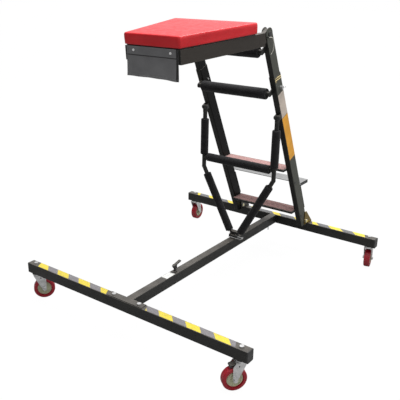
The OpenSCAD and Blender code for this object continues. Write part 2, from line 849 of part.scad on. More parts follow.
// Platform pivot in the platform's own frame
pivot_y = pad_behind * cos(pad_tilt) - pad_above * sin(pad_tilt);
pivot_z = -pad_behind * sin(pad_tilt) - pad_above * cos(pad_tilt);
arm_top = -pad_t - board_t;
arm_rear = pivot_y - arm_rear_gap;
arm_front = -pad_len + front_over;

// Hinge tongue seen along x
module tongue_outline() {
    low_z = arm_top - arm_h + tongue_in;
    translate([pivot_y, pivot_z]) circle(r = tongue_r);
    polygon([[arm_rear - tongue_in, arm_top - tongue_in / 2], [arm_rear, arm_top - tongue_in / 2],
        [pivot_y, pivot_z + tongue_r], [pivot_y, pivot_z - tongue_r],
        [arm_rear, low_z], [arm_rear - tongue_in, low_z]]);
}

// Two hollow arms that draw together to the front, their hinge tongues and the front cross tube
module platform_frame() {
    color([0.13, 0.13, 0.12]) platform() {
        both() {
            translate([0, 0, arm_top - arm_h]) difference() {
                linear_extrude(height = arm_h)
                    polygon([[rail_out_x, arm_rear], [rail_out_x - arm_w, arm_rear],
                        [arm_front_x - arm_w, arm_front], [arm_front_x, arm_front]]);
                translate([0, 0, arm_wall]) linear_extrude(height = arm_h - 2 * arm_wall)
                    polygon([[rail_out_x - arm_wall, arm_rear - 4 * arm_wall],
                        [rail_out_x - arm_w + arm_wall, arm_rear - 4 * arm_wall],
                        [arm_front_x - arm_w + arm_wall, arm_front + arm_wall],
                        [arm_front_x - arm_wall, arm_front + arm_wall]]);
            }
            difference() {
                translate([rail_mid_x - tongue_w / 2, 0, 0]) rotate([90, 0, 90])
                    linear_extrude(height = tongue_w) tongue_outline();
                translate([0, pivot_y, pivot_z]) rod_x(rail_in_x, rail_out_x, head_bolt_r + run);
            }
        }
        difference() {
            box([-arm_front_x + arm_w - arm_wall, arm_front, arm_top - cross_h],
                [arm_front_x - arm_w + arm_wall, arm_front + cross_h, arm_top]);
            box([-arm_front_x + arm_w, arm_front + arm_wall, arm_top - cross_h + arm_wall],
                [arm_front_x - arm_w, arm_front + cross_h - arm_wall, arm_top - arm_wall]);
        }
    }
}

module board() {
    color([0.1, 0.1, 0.1]) platform() translate([0, 0, arm_top + seat])
        linear_extrude(height = board_t - 2 * seat)
            polygon([[pad_rear_x - board_in, -board_in], [-pad_rear_x + board_in, -board_in],
                [-pad_front_x + board_in, -pad_len + board_in],
                [pad_front_x - board_in, -pad_len + board_in]]);
}

// Rounded outline of the cushion, drawn in by a distance, as points
pad_round = 8;
pad_steps = 10;
function pad_corner(cx, cy, a0, a1, r) = [for (k = [0 : pad_steps]) let (a = a0 + (a1 - a0) * k / pad_steps)
    [cx + r * cos(a), cy + r * sin(a)]];
pad_slope = atan((pad_rear_x - pad_front_x) / pad_len);
function pad_ring(inset) = let (r = pad_round - inset * 0.6, k = pad_round) concat(
    pad_corner(pad_rear_x - k / cos(pad_slope), -k, 90, -pad_slope, r),
    pad_corner(pad_front_x - k / cos(pad_slope), -pad_len + k, -pad_slope, -90, r),
    pad_corner(-pad_front_x + k / cos(pad_slope), -pad_len + k, 270, 180 + pad_slope, r),
    pad_corner(-pad_rear_x + k / cos(pad_slope), -k, 180 + pad_slope, 90, r));
// Height as a share of the thickness, and the inset there
pad_profile_share = [[0, 0.3], [0.06, 0.1], [0.2, 0], [0.5, -0.1], [0.78, 0.05], [0.92, 0.28], [1, 0.75]];
// Rings of the crown, as shares of the way in to the middle
pad_crown_share = [0.92, 0.8, 0.6, 0.4, 0.2];
pad_middle = [0, -pad_len / 2];

module cushion() {
    n = 4 * (pad_steps + 1);
    sides_pts = [for (s = pad_profile_share) let (q = pad_ring(s[1] * pad_round)) each
        [for (p = q) [p.x, p.y, -pad_t + s[0] * pad_t]]];
    crown_pts = [for (f = pad_crown_share) let (q = pad_ring(0.75 * pad_round)) each
        [for (p = q) [p.x * f, pad_middle.y + (p.y - pad_middle.y) * f, pad_crown * (1 - f * f)]]];
    m = len(pad_profile_share) + len(pad_crown_share);
    walls = [for (i = [0 : m - 2], k = [0 : n - 1]) each
        [[i * n + k, i * n + (k + 1) % n, (i + 1) * n + k],
            [i * n + (k + 1) % n, (i + 1) * n + (k + 1) % n, (i + 1) * n + k]]];
    base = m * n;
    caps = [for (k = [0 : n - 1]) each [[base, (k + 1) % n, k],
        [base + 1, (m - 1) * n + k, (m - 1) * n + (k + 1) % n]]];
    color([0.8, 0.1, 0.13]) platform() polyhedron(points = concat(sides_pts, crown_pts,
        [[0, pad_middle.y, -pad_t]], [[0, pad_middle.y, pad_crown]]),
        faces = [for (f = concat(walls, caps)) [f[0], f[2], f[1]]], convexity = 4);
}

// Hanging flap: a thin bowed sheet in front of the cross tube
flap_cols = 16;
flap_rows = 10;
function flap_swell(sx) = flap_bow * (flap_mid_bow + (1 - flap_mid_bow) * sx * sx)
    + flap_wave * (1 + sin(flap_turn * sx));
function flap_front(sx, sz) = arm_front - flap_t - seat - sz * sz * flap_swell(sx);

module flap() {
    nx = flap_cols + 1;
    nz = flap_rows + 1;
    grid = function (off) [for (j = [0 : flap_rows], i = [0 : flap_cols])
        let (sx = 2 * i / flap_cols - 1, sz = j / flap_rows)
        [sx * flap_w / 2, flap_front(sx, sz) + off, arm_top - flap_top + pad_t / 12 - sz * flap_h]];
    a = nx * nz;
    quads = [for (j = [0 : flap_rows - 1], i = [0 : flap_cols - 1])
        [j * nx + i, j * nx + i + 1, (j + 1) * nx + i + 1, (j + 1) * nx + i]];
    front = [for (q = quads) each [[q[0], q[1], q[2]], [q[0], q[2], q[3]]]];
    back = [for (f = front) [f[0] + a, f[2] + a, f[1] + a]];
    rim = concat([for (i = [0 : nx - 1]) i], [for (j = [1 : nz - 1]) j * nx + nx - 1],
        [for (i = [nx - 2 : -1 : 0]) (nz - 1) * nx + i], [for (j = [nz - 2 : -1 : 1]) j * nx]);
    m = len(rim);
    edge = [for (k = [0 : m - 1]) let (p = rim[k], q = rim[(k + 1) % m])
        each [[p, p + a, q + a], [p, q + a, q]]];
    color([0.3, 0.3, 0.3]) platform() polyhedron(points = concat(grid(0), grid(flap_t)),
        faces = concat(front, back, edge), convexity = 6);
}

module snaps() {
    snap_y = flap_front(snap_x * 2 / flap_w, snap_share) - gap / 2;
    color([0.6, 0.6, 0.6]) platform() both()
        translate([snap_x, snap_y, arm_top - flap_h / 8]) rotate([90, 0, 0]) cylinder(r = snap_r, h = snap_h);
}

// Brace: legs, cross bar, crotch block and the open yoke that hooks behind the apex pin
brace_tilt = atan((hinge_y - apex_leg_y) / (brace_z - apex_z));
leg_slope = (leg_x - apex_x) / (brace_bend_z - apex_z);
function leg_at(z) = z > brace_bend_z ? leg_x : leg_x - (brace_bend_z - z) * leg_slope;
function brace_y(z) = hinge_y - (brace_z - z) * tan(brace_tilt);

// Tube between two points
module strut(a, b, r) {
    d = b - a;
    translate(a) rotate([0, acos(d.z / norm(d)), atan2(d.y, d.x)]) cylinder(r = r, h = norm(d));
}

function brace_point(z) = [leg_at(z), brace_y(z), z];

module yoke_outline() {
    low_z = beam_top + yoke_floor;
    difference() {
        translate([apex_y - yoke_d / 2, low_z]) square([yoke_d + yoke_rear, crotch_z + cut - low_z]);
        translate([apex_y, apex_z]) circle(r = pin_apex_r + gap);
        translate([apex_y, apex_z]) rotate(yoke_turn) translate([0, -pin_apex_r - gap])
            square([yoke_d * 2, 2 * pin_apex_r + 2 * gap]);
    }
}

module brace_frame() {
    low_z = crotch_z + crotch_h / 2;
    color([0.13, 0.13, 0.13]) place() {
        both() {
            difference() {
                union() {
                    translate([0, hinge_y, brace_z]) rod_x(leg_x - eye_w / 2, leg_x + eye_w / 2, eye_r);
                    box([leg_x - eye_w / 2, hinge_y - 0.8 * eye_r, brace_z - eye_len],
                        [leg_x + eye_w / 2, hinge_y + 0.8 * eye_r, brace_z]);
                }
                translate([0, hinge_y, brace_z]) rod_x(leg_x - eye_w, leg_x + eye_w, hinge_bolt_r + run);
            }
            strut(brace_point(brace_z - eye_len + ear_wall), brace_point(brace_bend_z), leg_r);
            translate(brace_point(brace_bend_z)) sphere(r = leg_r + elbow_rise);
            strut(brace_point(brace_bend_z - seat), brace_point(low_z), leg_r);
            translate([boss_x + yoke_gap, 0, 0]) rotate([90, 0, 90])
                linear_extrude(height = yoke_t) yoke_outline();
        }
        translate([0, brace_y(brace_bar_z), brace_bar_z]) rod_x(-leg_x, leg_x, leg_r);
        box([-crotch_x, apex_leg_y - 1.15 * leg_r, crotch_z],
            [crotch_x, apex_leg_y + 1.15 * leg_r, crotch_z + crotch_h]);
    }
}

// Foam sleeve around a leg between two heights
module leg_foam(z1, z0) {
    over = cut * unit(brace_point(z1) - brace_point(z0));
    difference() {
        strut(brace_point(z1), brace_point(z0), leg_foam_r);
        strut(brace_point(z1) + over, brace_point(z0) - over, leg_r + foam_gap);
    }
}

module brace_foams() {
    color([0.06, 0.06, 0.07]) place() {
        both() {
            leg_foam(brace_z - brace_foam_top, brace_z - brace_foam_low);
            leg_foam(low_foam_z, low_foam_end_z);
        }
        translate([0, brace_y(brace_bar_z), brace_bar_z]) difference() {
            rod_x(-bar_leg_foam_x, bar_leg_foam_x, bar_leg_foam_r);
            rod_x(-bar_leg_foam_x - cut, bar_leg_foam_x + cut, leg_r + foam_gap);
        }
    }
}

// Pull pin through the boss, with a round head and a wire bail in front of the yoke
module apex_pin() {
    color([0.75, 0.75, 0.77]) place() translate([0, apex_y, apex_z]) {
        rod_x(-pin_apex_left, pin_apex_right, pin_apex_r);
        rod_x(pin_apex_right, pin_apex_right + nut_h, pin_apex_r * 1.5);
        translate([pin_apex_right + nut_h / 2, 0, -bail_drop]) rotate([90, 0, 0])
            cylinder(r = bail_r, h = bail_off);
        translate([0, -bail_off, -bail_drop]) rod_x(-bail_left, pin_apex_right + nut_h / 2 + bail_r, bail_r);
    }
}

rear_beam();
rear_caps();
centre_beam();
foot_brackets();
foot_bolts();
apex_bracket();
latch_base();
centre_panel();
rear_tape();
rear_fasteners();
front_beam();
front_caps();
front_stub();
tee_plate();
front_tape();
front_fasteners();
latch_lever();
fork(0);  // fork_front_right
hub(0);  // hub_front_right
tread(0);  // tread_front_right
pedal(0);  // pedal_front_right
fork(1);  // fork_front_left
hub(1);  // hub_front_left
tread(1);  // tread_front_left
pedal(1);  // pedal_front_left
fork(2);  // fork_rear_right
hub(2);  // hub_rear_right
tread(2);  // tread_rear_right
pedal(2);  // pedal_rear_right
fork(3);  // fork_rear_left
hub(3);  // hub_rear_left
tread(3);  // tread_rear_left
pedal(3);  // pedal_rear_left
outer_rails();
upper_tread();
lower_tread();
tread_mats();
rear_step();
mid_bar();
mid_foam();
pale_panels();
amber_panels();
rail_bands();
rail_bolts();
brace_brackets();
inner_rails();
top_bar();
top_foam();
head_bolts();
lanyards();
height_pin_right();
height_pin_left();
platform_frame();
board();
cushion();
flap();
snaps();
brace_frame();
brace_foams();
apex_pin();
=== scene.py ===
from math import atan, cos, degrees, pi, radians, sin, tan

import bmesh
import bpy
from mathutils import Matrix, Vector, noise


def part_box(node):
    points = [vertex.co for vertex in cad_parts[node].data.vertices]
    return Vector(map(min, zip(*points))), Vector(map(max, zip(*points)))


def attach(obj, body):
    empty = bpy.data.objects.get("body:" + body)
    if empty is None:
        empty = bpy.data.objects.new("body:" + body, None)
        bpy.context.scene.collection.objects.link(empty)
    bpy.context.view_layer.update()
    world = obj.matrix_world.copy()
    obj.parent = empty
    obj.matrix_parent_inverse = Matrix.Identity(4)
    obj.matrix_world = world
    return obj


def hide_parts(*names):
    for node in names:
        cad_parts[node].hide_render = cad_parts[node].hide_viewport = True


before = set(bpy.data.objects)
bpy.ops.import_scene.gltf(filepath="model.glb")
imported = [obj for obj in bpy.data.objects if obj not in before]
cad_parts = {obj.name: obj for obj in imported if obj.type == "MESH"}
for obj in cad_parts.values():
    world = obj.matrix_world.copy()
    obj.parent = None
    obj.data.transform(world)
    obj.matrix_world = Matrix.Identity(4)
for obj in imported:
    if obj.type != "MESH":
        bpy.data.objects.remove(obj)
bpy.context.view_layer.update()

MM = 0.001

# The photograph's camera, solved in the base frame: its place, then degrees, then pixels of the photograph
CAMERA_PLACE = (1571.3 * MM, -2295.3 * MM, 1469.0 * MM)
CAMERA_AZIMUTH = 35.7
CAMERA_ELEVATION = 20.1
CAMERA_ROLL = 0.7
CAMERA_SENSOR_MM = 36
CAMERA_FOCUS_PX = 600.6
CAMERA_CENTRE_PX = (200.5, 199.4)
PHOTO_PX = 400.0

# Base: distance of a cross beam's middle line from the base's middle
BEAM_MID = 641.5 * MM

# Ladder: lean from upright in degrees, the rails' foot, and the radius of the bars under their sleeves
LEAN = 25.0
RAIL_FOOT_Y = 573.5 * MM
RAIL_FOOT_Z = 205.0 * MM
BAR_R = 12.0 * MM

# Brace: hinge on the rails, bend and apex of the legs
HINGE_Z = 852.0 * MM
HINGE_OFF = 47.9 * MM
HINGE_Y = RAIL_FOOT_Y - (HINGE_Z - RAIL_FOOT_Z) * tan(radians(LEAN)) - HINGE_OFF / cos(radians(LEAN))
LEG_R = 11.0 * MM
LEG_X = 211.5 * MM
BEND_Z = 535.0 * MM
APEX_X = 22.0 * MM
APEX_Y = 210.0 * MM
APEX_Z = 190.0 * MM

# Sleeves on the brace: top and bottom of those on a leg, height and half length of the one on the cross bar
UPPER_FOAM_Z = (791.0 * MM, 600.0 * MM)
LOWER_FOAM_Z = (499.0 * MM, 210.0 * MM)
LEG_FOAM_R = 20.6 * MM
CROSS_Z = 588.0 * MM
CROSS_FOAM_X = 189.0 * MM
CROSS_FOAM_R = 21.8 * MM

# Every sleeve: rounding of its ends, depth of the dimple round its bore, and the uneven surface of the foam
SLEEVE_ROUND = 6.0 * MM
SLEEVE_DIMPLE = 1.2 * MM
SLEEVE_ROUND_STEPS = 5
SLEEVE_RINGS = 24
SLEEVE_AROUND = 48
SLEEVE_RIPPLE = 0.012
SLEEVE_RIPPLE_RATE = 22
SLEEVE_RIPPLE_SEED = 7

# Cushion, in the platform frame: origin at its upper rear edge, tilted up to the rear by PAD_TILT degrees
PAD_ORIGIN = (0.0, -16.5 * MM, 1302.0 * MM)
PAD_TILT = 4.5
PAD_LENGTH = 441.0 * MM
PAD_REAR_HALF = 222.0 * MM
PAD_FRONT_HALF = 142.5 * MM
PAD_THICK = 46.4 * MM
PAD_CROWN = 7.0 * MM
PAD_CORNER = 8.0 * MM
PAD_LEAST_CORNER = 2.0 * MM
PAD_CENTRE = Vector((0, -PAD_LENGTH / 2))

# Its section: height as a share of the thickness, inset and pull in metres. The vinyl is wrapped over foam
# and tucked in below.
PAD_PROFILE = [(0.0, 0.02, 0.0), (0.0, 0.004, 0.0), (0.02, 0.0015, 0.0), (0.07, 0.0004, 0.0006), (0.2, 0.0, 0.0014),
               (0.4, -0.0006, 0.002), (0.6, -0.001, 0.002), (0.78, -0.001, 0.0012), (0.88, -0.0002, 0.0006),
               (0.94, 0.0009, 0.0003), (0.975, 0.0024, 0.0), (0.995, 0.0046, 0.0), (1.005, 0.0078, 0.0)]
PAD_TUCKED_RINGS = 2
PAD_TOP_RINGS = 20
PAD_PER_SIDE = 30
PAD_PER_CORNER = 9
CROWN_POWER = 2.6

# Its vinyl: pleats at the corners, puckers all over, and the slack of the top
PLEAT_DEPTH = 0.9 * MM
PUCKER_DEPTH = 0.5 * MM
PUCKER_RATE = 26
PUCKER_RATE_UP = 12
PUCKER_SEED = 4
SAG_DEPTH = 1.2 * MM
SAG_RATE = 7
SAG_SEED = 1

# Flap, hung from the arms' front tube
ARM_FRONT = -437.0 * MM
ARM_TOP = -51.4 * MM
FLAP_WIDTH = 263.0 * MM
FLAP_HEIGHT = 120.0 * MM
FLAP_THICK = 1.6 * MM
FLAP_OFF = 2.1 * MM
FLAP_UP = 0.85 * MM
FLAP_BOW = 7.5 * MM
FLAP_MIDDLE_BOW = 0.35
FLAP_WAVE = 1.6 * MM
FLAP_WAVES = 3
FLAP_COLS = 72
FLAP_ROWS = 40

# Its fold line, the unevenness below that, and its right edge, which curls back and hangs lower
FOLD_DROP = 33.0 * MM
FOLD_WIDTH = 3.5 * MM
FOLD_RIDGE = 1.3 * MM
FOLD_REACH = 4.5 * MM
RIPPLE_DEPTH = 0.7 * MM
RIPPLE_RATE = (3, 4)
RIPPLE_SEED = 1.7
CURL_DEPTH = 6.0 * MM
CURL_SHARE = 0.1
CORNER_SAG = 3.0 * MM

# The strips on it: grey hem strips sewn along its left and bottom edges, and black strips that paint the shade of its
# curled right edge and of its fold line
HEM_WIDTH = 9.0 * MM
HEM_THICK = 0.5 * MM
HEM_OFF = 1.1 * MM
HEM_ROWS = 4

# Lanyards: the route of the solids, from the clip, in millimetres of the ladder frame's x, across and up
LANYARD_POINTS = [(0, 3.5, -2), (1, 12, -9), (2, 22, -13), (2, 29, -21), (2, 31, -33), (2, 29, -48),
                  (2, 24, -61), (1, 15, -73), (-1, 6, -81), (-4, -3, -86)]
LANYARD_R = 1.2 * MM
CLIP = (226.65 * MM, -20.0 * MM, 1148.0 * MM)

# Stripes of the tapes at 45 degrees: the x where a row of stripes begins, the x at which one of its yellow
# stripes starts on the tape's middle line, and that stripe's width; then the distance from stripe to stripe
FRONT_STRIPES = [(-1, -431.5 * MM, 73 * MM), (0, 318.5 * MM, 71 * MM)]
FRONT_PERIOD = 139 * MM
REAR_STRIPES = [(-1, -583 * MM, 50 * MM), (-0.54, -472.5 * MM, 72 * MM), (-0.2, -10 * MM, 46 * MM),
                (0.2, 348.5 * MM, 72 * MM)]
REAR_PERIOD = 144 * MM

# Bands on the rails: the distance from stripe to stripe, a stripe's share of it, and its rise over depth
BAND_PERIOD = 11 * MM
BAND_SHARE = 0.45
BAND_SLOPE = 0.24

# Foot plates: those farther from the middle than this are plated
PLATED_BEYOND = 210 * MM
PLATED_METALLIC = 0.85

# Worn edges, which also carry a painted highlight: the radius that counts as an edge, and how fast the wear and the
# highlight rise with the turn of the surface
EDGE_R = 1.2 * MM
EDGE_GAIN = 6.0
EDGE_SAMPLES = 4

# Colours of dirt, wear and the tapes' stripes. The dust colour also paints a highlight on faces that look up, and the
# bare steel colour paints a highlight along edges.
DUST_AND_TOP_SHEEN = (0.11, 0.1, 0.088)
GRIME = (0.14, 0.13, 0.12)
BARE_STEEL_AND_EDGE_GLINT = (0.3, 0.3, 0.29)
SCRATCH = (0.55, 0.55, 0.53)
TAPE_YELLOW = (0.7, 0.56, 0.04)

# Stage: a floor that only the camera sees as white, and a sky that is brightest towards SKY_AIM
FLOOR_HALF = 30.0
FLOOR_Z = -0.5 * MM
FLOOR_GREY = (0.3, 0.3, 0.3, 1)
FLOOR_ROUGH = 0.8
FLOOR_GLOW = 1.08
FLOOR_GLOW_SHARE = 0.9
WHITE_LIGHT = (1, 1, 1, 1)
SKY_AIM = (0.22, 0.45, 0.87)
SKY_RANGE = (-0.1, 0.7)
SKY_STRENGTH = (0.16, 1.1)

# Lamps: name, place, size in metres, watts, and the point that they look at
LAMPS = (("key", (0.3, 0.5, 3.8), 2.4, 140, (0, -0.1, 0.8)),
         ("fill", (1.6, -2.6, 1.6), 2.0, 6, (0, 0, 0.7)))


# Frames

def middle(node):
    """Middle of a node's box at rest."""
    return [(a + b) / 2 for a, b in zip(*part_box(node))]


SHIFT = middle("rear_beam")[1] - BEAM_MID


def at(x, y, z):
    """Point of the base frame, whose middle is between the cross beams, in the row frame."""
    return Vector((x, y + SHIFT, z))


def ladder_point(x, across, up):
    """Point of the ladder frame: origin at the rails' foot, up along the rails, across towards the rear."""
    lean = radians(LEAN)
    return at(x, RAIL_FOOT_Y + across * cos(lean) - up * sin(lean), RAIL_FOOT_Z + across * sin(lean) + up * cos(lean))


def platform_point(x, y, z):
    """Point of the platform frame: origin at the cushion's upper rear edge, z square to it."""
    tilt = radians(PAD_TILT)
    ox, oy, oz = PAD_ORIGIN
    return at(ox + x, oy + y * cos(tilt) - z * sin(tilt), oz + y * sin(tilt) + z * cos(tilt))


def leg_point(side, z):
    """Centre of a brace leg at a height."""
    x = LEG_X if z > BEND_Z else LEG_X - (BEND_Z - z) * (LEG_X - APEX_X) / (BEND_Z - APEX_Z)
    y = HINGE_Y - (HINGE_Z - z) * (HINGE_Y - APEX_Y) / (HINGE_Z - APEX_Z)
    return at(side * x, y, z)


# Camera

def make_camera():
    az, el, roll = (radians(v) for v in (CAMERA_AZIMUTH, CAMERA_ELEVATION, CAMERA_ROLL))
    back = Vector((sin(az) * cos(el), -cos(az) * cos(el), sin(el)))
    right = Vector((cos(az), sin(az), 0))
    up = back.cross(right)
    side = cos(roll) * right + sin(roll) * up
    top = -sin(roll) * right + cos(roll) * up
    data = bpy.data.cameras.new("camera")
    data.sensor_width = CAMERA_SENSOR_MM
    data.lens = data.sensor_width * CAMERA_FOCUS_PX / PHOTO_PX
    data.shift_x = (PHOTO_PX / 2 - CAMERA_CENTRE_PX[0]) / PHOTO_PX
    data.shift_y = (CAMERA_CENTRE_PX[1] - PHOTO_PX / 2) / PHOTO_PX
    camera = bpy.data.objects.new("camera", data)
    turn = Matrix((side, top, back)).transposed().to_4x4()
    camera.matrix_world = Matrix.Translation(at(*CAMERA_PLACE)) @ turn
    bpy.context.scene.collection.objects.link(camera)
    bpy.context.scene.camera = camera


# Node helpers

class Nodes:
    """Small builder of one material's nodes. A noise's scale is its number of turns in a metre."""

    def __init__(self, name, **sockets):
        self.material = bpy.data.materials.new(name)
        self.material.use_nodes = True
        self.tree = self.material.node_tree
        self.shader = self.tree.nodes["Principled BSDF"]
        for key, value in sockets.items():
            self.shader.inputs[key.replace("_", " ")].default_value = value
        spot = self.tree.nodes.new("ShaderNodeTexCoord")
        self.place = spot.outputs["Object"]
        self.normal = spot.outputs["Normal"]

    def node(self, kind, **values):
        made = self.tree.nodes.new("ShaderNode" + kind)
        for key, value in values.items():
            setattr(made, key, value)
        return made

    def link(self, source, target):
        self.tree.links.new(source, target)

    def split(self, source):
        """The x, y and z of a place or a normal."""
        made = self.node("SeparateXYZ")
        self.link(source, made.inputs["Vector"])
        return made.outputs["X"], made.outputs["Y"], made.outputs["Z"]

    def math(self, operation, a, b=0.0):
        made = self.node("Math", operation=operation)
        for socket, value in zip(made.inputs, (a, b)):
            if isinstance(value, (int, float)):
                socket.default_value = value
            else:
                self.link(value, socket)
        return made.outputs["Value"]

    def mix(self, fac, a, b):
        """Colour a where fac is 0 and b where it is 1."""
        made = self.node("Mix", data_type="RGBA")
        self.link(fac, made.inputs["Factor"])
        for name, value in (("A", a), ("B", b)):
            socket = next(s for s in made.inputs if s.name == name and s.type == "RGBA")
            if isinstance(value, tuple):
                socket.default_value = (*value, 1)
            else:
                self.link(value, socket)
        return next(s for s in made.outputs if s.type == "RGBA")

    def blend(self, fac, a, b):
        """Number a where fac is 0 and b where it is 1."""
        made = self.node("Mix", data_type="FLOAT")
        for socket, value in zip(made.inputs, (fac, None, a, b)):
            if value is not None:
                self.link(value, socket)
        return made.outputs[0]

    def ramp(self, fac, start, full, low=0.0, high=1.0):
        """low up to start, high from full on, and straight between them."""
        made = self.node("MapRange")
        for key, value in zip(("From Min", "From Max", "To Min", "To Max"), (start, full, low, high)):
            made.inputs[key].default_value = value
        self.link(fac, made.inputs["Value"])
        return made.outputs["Result"]

    def noise(self, scale, detail=4.0, stretch=None):
        """Noise over the place, as many times finer along x, y and z as stretch says."""
        made = self.node("TexNoise")
        made.inputs["Scale"].default_value = scale
        made.inputs["Detail"].default_value = detail
        place = self.place
        if stretch:
            mapping = self.node("Mapping")
            mapping.inputs["Scale"].default_value = stretch
            self.link(place, mapping.inputs["Vector"])
            place = mapping.outputs["Vector"]
        self.link(place, made.inputs["Vector"])
        return made.outputs["Fac"]

    def patches(self, scale, start, full, low=0.0, high=1.0, detail=4.0, stretch=None):
        """Noise that is cut to patches by a ramp."""
        return self.ramp(self.noise(scale, detail, stretch), start, full, low, high)

    def cells(self, scale):
        """Distance to the nearest of scattered points: round cells like pores or grains."""
        made = self.node("TexVoronoi")
        made.inputs["Scale"].default_value = scale
        self.link(self.place, made.inputs["Vector"])
        return made.outputs["Distance"]

    def edge(self):
        """How much a point lies on an edge, for its wear and its painted highlight, from the turn of a rounded
        normal.
        """
        bevel = self.node("Bevel", samples=EDGE_SAMPLES)
        bevel.inputs["Radius"].default_value = EDGE_R
        geometry = self.node("NewGeometry")
        dot = self.node("VectorMath", operation="DOT_PRODUCT")
        self.link(bevel.outputs["Normal"], dot.inputs[0])
        self.link(geometry.outputs["Normal"], dot.inputs[1])
        made = self.math("MULTIPLY", self.math("SUBTRACT", 1.0, dot.outputs["Value"]), EDGE_GAIN)
        made.node.use_clamp = True
        return made

    def colour(self, source):
        self.link(source, self.shader.inputs["Base Color"])

    def rough(self, scale, low, high, full=0.7, detail=4.0):
        """Roughness between low and high, in patches."""
        patches = self.patches(scale, start=0.3, full=full, low=low, high=high, detail=detail)
        self.link(patches, self.shader.inputs["Roughness"])

    def bump(self, height, distance, strength=0.5):
        made = self.node("Bump")
        made.inputs["Distance"].default_value = distance
        made.inputs["Strength"].default_value = strength
        self.link(height, made.inputs["Height"])
        self.link(made.outputs["Normal"], self.shader.inputs["Normal"])


def scaled(colour, gain):
    return tuple(min(1.0, c * gain) for c in colour)


# Finishes

def powder(name, colour, outer=None, inner=None, rough=0.42, shine=0.35):
    """Powder-coated steel: orange peel, smudges, a painted highlight with dust in patches on faces that look up, and
    paler worn edges that also paint a highlight along every edge.
    Faces that look away from the middle plane may get a painted highlight, and those that look to it a painted shade."""
    m = Nodes(name, Specular_IOR_Level=shine)
    base = m.mix(m.patches(9, start=0.45, full=0.75, detail=6), colour, scaled(colour, 1.5))
    # Painted highlight on faces that look away from the middle plane, painted shade on faces that look to it
    if outer:
        away = m.math("MULTIPLY", m.split(m.normal)[0], m.math("SIGN", m.split(m.place)[0]))
        base = m.mix(m.ramp(away, start=0.5, full=0.8), base, outer)
        base = m.mix(m.ramp(away, start=-0.5, full=-0.8), base, inner)
    # Faces that look up are lightened by a painted highlight at half strength or more, with dust in patches on top of
    # it
    upward = m.ramp(m.split(m.normal)[2], start=0.6, full=0.95)
    top_sheen_and_dust = m.math("MULTIPLY", upward, m.patches(16, start=0.3, full=0.6, low=0.55, detail=6))
    # Edges get pale bare steel: worn spots, and at the least a faint painted highlight along every edge
    worn = m.math("MULTIPLY", m.edge(), m.patches(120, start=0.45, full=0.6, low=0.1, high=0.5))
    m.colour(m.mix(worn, m.mix(top_sheen_and_dust, base, DUST_AND_TOP_SHEEN), BARE_STEEL_AND_EDGE_GLINT))
    m.rough(35, low=rough - 0.05, high=rough + 0.1)
    m.bump(m.noise(650, detail=2), 0.12 * MM)
    return m.material


def two_tone(name, top, rest, rough):
    """Painted sheet that is pale on top and dark on its rim, with scuffs along the top."""
    m = Nodes(name)
    scuff = m.patches(25, start=0.45, full=0.7, detail=6, stretch=(1, 5, 1))
    face = m.mix(scuff, top, scaled(top, 0.6))
    m.colour(m.mix(m.ramp(m.split(m.normal)[2], start=0.6, full=0.9), rest, face))
    m.rough(35, low=rough - 0.05, high=rough + 0.15)
    m.bump(m.noise(500, detail=3), 0.12 * MM)
    return m.material


def metal(name, colour, rough):
    """Plated steel with a cloudy bloom, fine scratches and duller hollows."""
    m = Nodes(name, Metallic=1.0)
    m.colour(m.mix(m.patches(60, start=0.35, full=0.7, detail=6), colour, scaled(colour, 0.72)))
    m.rough(240, low=rough - 0.08, high=rough + 0.18, full=0.75, detail=3)
    m.bump(m.noise(900, detail=2), 0.06 * MM)
    return m.material


def gusset(name, plated, painted):
    """Foot plates: zinc-chromate plating on the outer ones, paint on the inner ones."""
    m = Nodes(name)
    outer = m.math("GREATER_THAN", m.math("ABSOLUTE", m.split(m.place)[0]), PLATED_BEYOND)
    bloom = m.patches(70, start=0.35, full=0.7, detail=6)
    m.colour(m.mix(outer, painted, m.mix(bloom, plated, scaled(plated, 0.55))))
    m.link(m.math("MULTIPLY", outer, PLATED_METALLIC), m.shader.inputs["Metallic"])
    m.rough(240, low=0.3, high=0.52, full=0.75, detail=3)
    m.bump(m.noise(700, detail=2), 0.1 * MM)
    return m.material


def plastic(name, colour, rough, grain=900, depth=0.06 * MM):
    """Moulded plastic or smooth paint: slow clouds of tone and a fine grain."""
    m = Nodes(name)
    m.colour(m.mix(m.patches(14, start=0.4, full=0.75, detail=5), colour, scaled(colour, 1.25)))
    m.rough(50, low=rough - 0.06, high=rough + 0.1)
    m.bump(m.noise(grain, detail=3), depth, strength=0.6)
    return m.material


def foam(name, colour):
    """Closed-cell foam: pin holes and scuffed patches."""
    m = Nodes(name, Sheen_Weight=0.09, Sheen_Roughness=0.5, Specular_IOR_Level=0.3)
    m.colour(m.mix(m.patches(30, start=0.5, full=0.75, detail=6), colour, scaled(colour, 2.0)))
    m.rough(80, low=0.72, high=0.9)
    holes = m.math("MULTIPLY", m.cells(1500), 0.5)
    m.bump(m.math("ADD", holes, m.noise(260, detail=3)), 0.3 * MM, strength=0.6)
    return m.material


def vinyl(name, colour, shade, rough=0.36, crease=18.0):
    """Upholstery vinyl: pebbled leather grain, faint creases and polished high spots."""
    m = Nodes(name, Coat_Weight=0.05, Coat_Roughness=0.35, Specular_IOR_Level=0.38)
    m.colour(m.mix(m.patches(7, start=0.35, full=0.7, detail=5), colour, shade))
    m.rough(40, low=rough - 0.06, high=rough + 0.12)
    grain = m.math("MULTIPLY", m.cells(650), 0.6)
    creases = m.patches(crease, start=0.35, full=0.65, detail=7)
    m.bump(m.math("ADD", grain, creases), 0.35 * MM)
    return m.material


def stripes(m, along, rows, period):
    """1 on the yellow stripes and 0 between them. Each row of stripes takes over from the last where it begins."""
    x = m.split(m.place)[0]
    stripe = None
    for first, start, width in rows:
        turn = m.math("DIVIDE", m.math("SUBTRACT", along, start), period)
        yellow = m.math("LESS_THAN", m.math("FRACT", turn), width / period)
        past = m.math("GREATER_THAN", x, first)
        stripe = yellow if stripe is None else m.blend(past, stripe, yellow)
    return stripe


